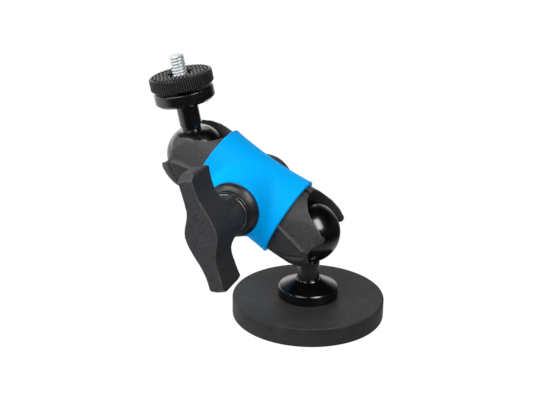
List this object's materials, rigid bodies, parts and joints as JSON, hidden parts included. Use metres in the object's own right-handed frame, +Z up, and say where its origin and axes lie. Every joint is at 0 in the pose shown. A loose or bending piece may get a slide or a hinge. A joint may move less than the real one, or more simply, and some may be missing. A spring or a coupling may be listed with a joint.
{
  "type": "magnetic camera mount",
  "caption": "Rubber-coated magnetic disc with a double ball clamp arm, blue sleeve, T-knob and a threaded camera post with a knurled lock ring.",
  "frame": {"origin": "centre of the magnetic disc's lower face, which sits on the steel surface", "axes": "+Z up out of the disc along the lower post; the arm leans up towards -X; the clamp bolt runs along Y with the knob on the -Y side"},
  "size_m": [0.1052, 0.0847, 0.1104],
  "materials": {
    "black_rubber": "matt moulded rubber",
    "plate_steel": "plain steel",
    "magnet_nickel": "nickel plated",
    "bush_brass": "turned",
    "screw_steel": "zinc plated",
    "black_anodised": "gloss black anodised, turned",
    "shell_plastic": "finely textured",
    "blue_silicone": "satin silicone",
    "collar_plastic": "smooth black",
    "washer_steel": "bright washer",
    "knob_plastic": "satin moulded",
    "stud_steel": "bright thread",
    "dark_steel": "blackened",
    "ring_anodised": "satin black anodised, knurled",
    "pad_rubber": "ribbed rubber"
  },
  "bodies": {
    "magnet_base": {"rubber_cover": "black_rubber", "steel_plate": "plate_steel", "disc_magnets": "magnet_nickel", "threaded_bush": "bush_brass", "joint_screw": "screw_steel"},
    "lower_post": {"lower_ball_post": "black_anodised"},
    "arm_back": {"arm_back_half": "shell_plastic", "clamp_bolt": "screw_steel", "head_washer": "screw_steel", "clamp_spring": "screw_steel", "silicone_sleeve": "blue_silicone"},
    "arm_front": {"arm_front_half": "shell_plastic", "domed_collar": "collar_plastic", "thin_washer": "washer_steel"},
    "knob": {"knob_body": "knob_plastic", "knob_insert": "bush_brass"},
    "upper_post": {"upper_ball_post": "black_anodised"},
    "camera_screw": {"camera_stud": "stud_steel"},
    "ring_lifter": {"ring_bush": "dark_steel"},
    "lock_ring": {"knurled_ring": "ring_anodised", "ribbed_pad": "pad_rubber"}
  },
  "joints": [
    {"name": "lower_pan", "type": "hinge", "parent": "magnet_base", "child": "lower_post", "pos_m": [0, 0, 0.0085], "axis": [0, 0, 1], "continuous": true},
    {"name": "lower_tilt", "type": "hinge", "parent": "lower_post", "child": "arm_back", "pos_m": [0, 0, 0.03814], "axis": [0, 1, 0], "range_deg": [-20, 144]},
    {"name": "clamp_open", "type": "slide", "parent": "arm_back", "child": "arm_front", "axis": [-0.019, -0.9992, -0.0353], "range_m": [0, 0.003], "deforming": ["silicone_sleeve"]},
    {"name": "knob_turn", "type": "hinge", "parent": "arm_front", "child": "knob", "pos_m": [-0.02624, 0, 0.05227], "axis": [-0.019, -0.9992, -0.0353], "range_deg": [-10, 1100]},
    {"name": "upper_tilt", "type": "hinge", "parent": "arm_back", "child": "upper_post", "pos_m": [-0.05248, 0, 0.0664], "axis": [0, 1, 0], "range_deg": [-132, 36]},
    {"name": "camera_pan", "type": "hinge", "parent": "upper_post", "child": "camera_screw", "pos_m": [-0.05248, 0, 0.0664], "axis": [-0.1766, -0.0715, 0.9817], "continuous": true},
    {"name": "ring_lift", "type": "slide", "parent": "camera_screw", "child": "ring_lifter", "axis": [-0.1766, -0.0715, 0.9817], "range_m": [-0.0011, 0.0038]},
    {"name": "ring_turn", "type": "hinge", "parent": "ring_lifter", "child": "lock_ring", "pos_m": [-0.05248, 0, 0.0664], "axis": [-0.1766, -0.0715, 0.9817], "range_deg": [-360, 1100]}
  ],
  "couplings": [
    {"joint": "knob_turn", "follows": "clamp_open", "rad_per_m": 6283.2},
    {"joint": "ring_turn", "follows": "ring_lift", "rad_per_m": 4947.4}
  ]
}
